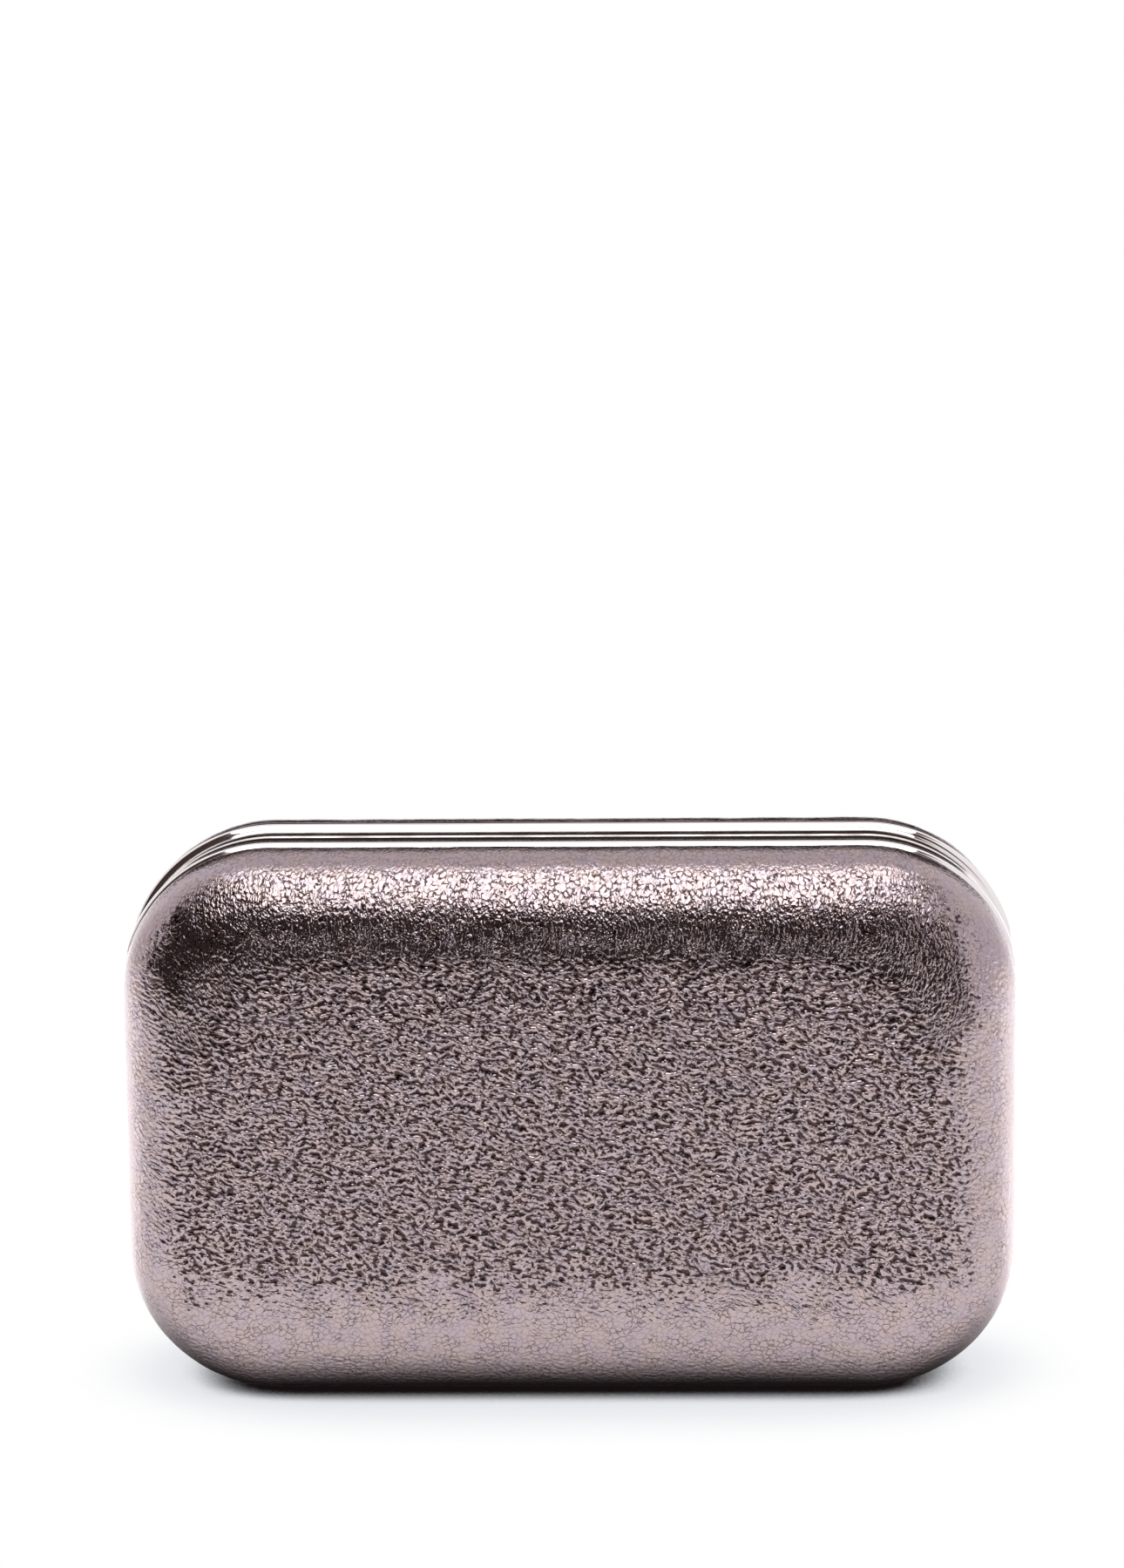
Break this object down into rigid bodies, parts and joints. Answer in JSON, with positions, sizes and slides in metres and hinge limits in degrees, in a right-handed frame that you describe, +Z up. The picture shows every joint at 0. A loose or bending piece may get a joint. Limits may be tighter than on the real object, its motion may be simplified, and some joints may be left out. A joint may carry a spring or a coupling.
{
  "type": "box clutch",
  "caption": "Hard-shell box clutch in cracked metallic leather: padded half shells in polished frame rails, hinged along the bottom seam, held shut by a magnet inside the top edge.",
  "frame": {"origin": "centre of the closed clutch's outline on the floor, under the seam", "axes": "+X along the width, +Z up, the front half lies at -Y and opens towards -Y"},
  "size_m": [0.191, 0.06, 0.12],
  "materials": {
    "leather_cover": "cracked rose-pewter metallic foil on padded leather",
    "frame_rail": "polished nickel plate with a rolled bead",
    "shell": "moulded shell board, hidden under leather and lining",
    "lining": "taupe satin glued into the shell",
    "slip_pocket": "taupe satin, stitched round three sides",
    "hinge_steel": "nickel-plated steel",
    "catch_steel": "nickel-plated steel",
    "magnet": "nickel-plated magnet"
  },
  "bodies": {
    "rear_half": {"rear_frame_rail": "frame_rail", "rear_leather_cover": "leather_cover", "rear_shell": "shell", "rear_lining": "lining", "rear_slip_pocket": "slip_pocket", "rear_magnet_cup": "catch_steel", "rear_magnet": "magnet", "left_hinge_rear_leaf": "hinge_steel", "left_hinge_rear_rivet_1": "hinge_steel", "left_hinge_rear_rivet_2": "hinge_steel", "right_hinge_rear_leaf": "hinge_steel", "right_hinge_rear_rivet_1": "hinge_steel", "right_hinge_rear_rivet_2": "hinge_steel", "left_hinge_pin": "hinge_steel", "right_hinge_pin": "hinge_steel"},
    "front_half": {"front_frame_rail": "frame_rail", "front_leather_cover": "leather_cover", "front_shell": "shell", "front_lining": "lining", "front_strike_plate": "catch_steel", "left_hinge_front_leaf": "hinge_steel", "left_hinge_front_rivet_1": "hinge_steel", "left_hinge_front_rivet_2": "hinge_steel", "right_hinge_front_leaf": "hinge_steel", "right_hinge_front_rivet_1": "hinge_steel", "right_hinge_front_rivet_2": "hinge_steel"}
  },
  "joints": [
    {"name": "front_half_hinge", "type": "hinge", "parent": "rear_half", "child": "front_half", "pos_m": [0, 0, 0.0014], "axis": [1, 0, 0], "range_deg": [0, 100]}
  ]
}
